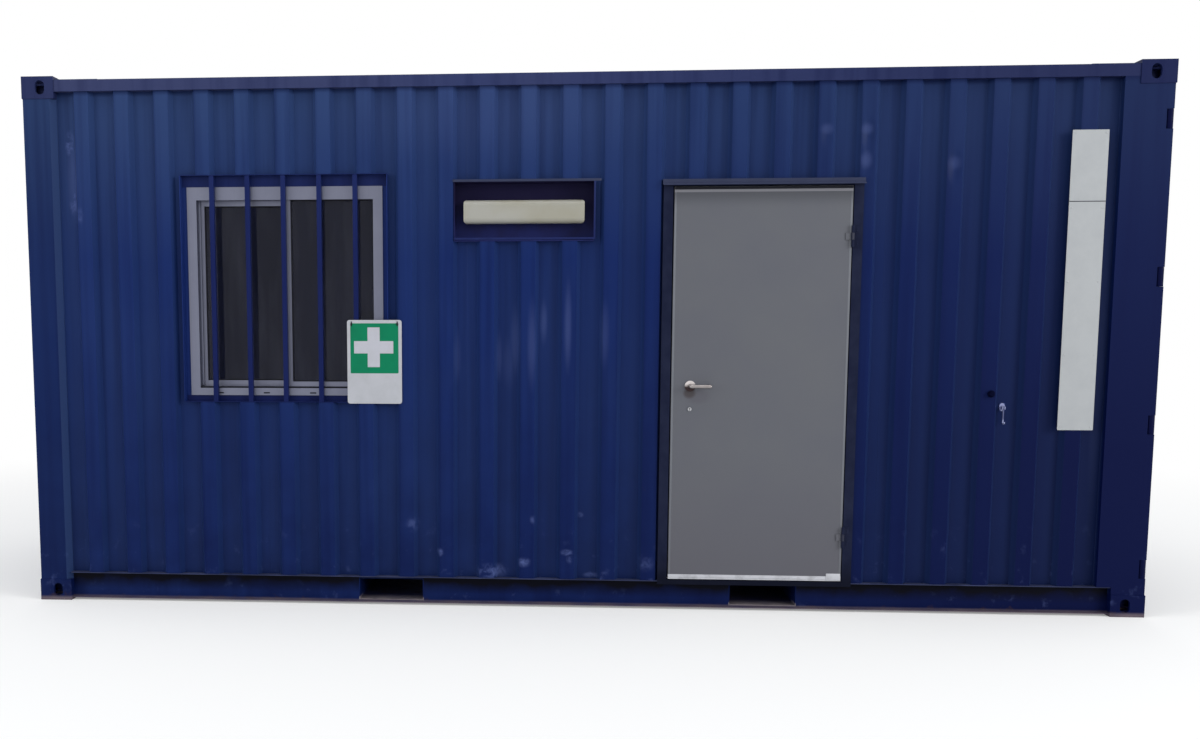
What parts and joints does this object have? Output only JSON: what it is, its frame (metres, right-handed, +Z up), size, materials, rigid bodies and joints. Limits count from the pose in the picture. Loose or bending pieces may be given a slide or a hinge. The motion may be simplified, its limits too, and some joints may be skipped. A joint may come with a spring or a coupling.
{
  "type": "portable first aid room",
  "caption": "Steel container cabin with corrugated walls, lined room, entrance door, barred sliding window, recessed light, first aid sign and cargo doors at one end.",
  "frame": {"origin": "middle of the four bottom lock apertures, on the ground", "axes": "+X along the building to the cargo door end, -Y out of the door and window wall, +Z up"},
  "size_m": [6.058, 2.496, 2.896],
  "materials": {
    "wall_blue": "satin, weathered",
    "frame_blue": "satin, rust at the edges",
    "trim_blue": "satin",
    "cargo_blue": "satin, weathered",
    "cargo_gear": "galvanised",
    "rubber_black": "matt",
    "underfloor_steel": "matt",
    "floor_ply": "matt",
    "lining_board": "matt",
    "window_aluminium": "anodised",
    "window_pane": "clear",
    "light_body": "satin",
    "light_cover": "frosted",
    "door_frame_dark": "satin",
    "door_grey": "satin",
    "door_cap": "mill",
    "lock_steel": "brushed",
    "sign_board": "gloss",
    "panel_board": "satin",
    "hook_zinc": "zinc plated"
  },
  "bodies": {
    "shell": {"bottom_corner_castings": "frame_blue", "top_corner_castings": "frame_blue", "closed_end_posts": "frame_blue", "cargo_end_posts": "frame_blue", "top_side_rails": "frame_blue", "bottom_side_rails": "frame_blue", "end_rails": "frame_blue", "fork_pockets": "frame_blue", "floor_cross_members": "underfloor_steel", "floor_deck": "floor_ply", "front_wall_left": "wall_blue", "front_wall_window_bay": "wall_blue", "front_wall_beside_light": "wall_blue", "front_wall_light_bay": "wall_blue", "front_wall_over_door": "wall_blue", "front_wall_right": "wall_blue", "rear_wall": "wall_blue", "closed_end_wall": "wall_blue", "roof_panel": "wall_blue", "cargo_door_left": "cargo_blue", "cargo_door_right": "cargo_blue", "cargo_lock_rods": "cargo_gear", "cargo_lock_handles": "cargo_gear", "cargo_rod_brackets": "cargo_gear", "cargo_hinges": "cargo_gear", "cargo_door_gaskets": "rubber_black", "front_lining_tall": "lining_board", "front_lining_short": "lining_board", "rear_lining": "lining_board", "end_linings": "lining_board", "ceiling_lining": "lining_board", "window_head_and_sill": "trim_blue", "window_side_reveals": "trim_blue", "window_bars": "trim_blue", "window_frame": "window_aluminium", "sliding_sash": "window_aluminium", "window_glass": "window_pane", "light_recess": "trim_blue", "light_base": "light_body", "light_diffuser": "light_cover", "door_jambs": "door_frame_dark", "door_head": "door_frame_dark", "door_threshold": "door_frame_dark", "drip_flashing": "trim_blue", "frame_hinge_leaves": "door_frame_dark", "first_aid_sign": "sign_board", "name_panel": "panel_board", "hook_plate": "hook_zinc", "rubber_buffer": "rubber_black"},
    "door": {"door_leaf": "door_grey", "door_edge_caps": "door_cap", "door_hinge_leaves": "door_frame_dark", "lock_furniture": "lock_steel"},
    "lever": {"lever_handle": "lock_steel"},
    "hook": {"door_hook": "hook_zinc"}
  },
  "joints": [
    {"name": "door_swing", "type": "hinge", "parent": "shell", "child": "door", "pos_m": [1.4355, -1.226, 1.2], "axis": [0, 0, 1], "range_deg": [0, 170]},
    {"name": "lever_turn", "type": "hinge", "parent": "door", "child": "lever", "pos_m": [0.606, -1.195, 1.226], "axis": [0, 1, 0], "range_deg": [0, 45], "stiffness_Nm_per_rad": 1.5, "springref_deg": -20.05},
    {"name": "hook_lift", "type": "hinge", "parent": "shell", "child": "hook", "pos_m": [2.256, -1.193, 1.114], "axis": [-1, 0, 0], "range_deg": [0, 90]}
  ]
}
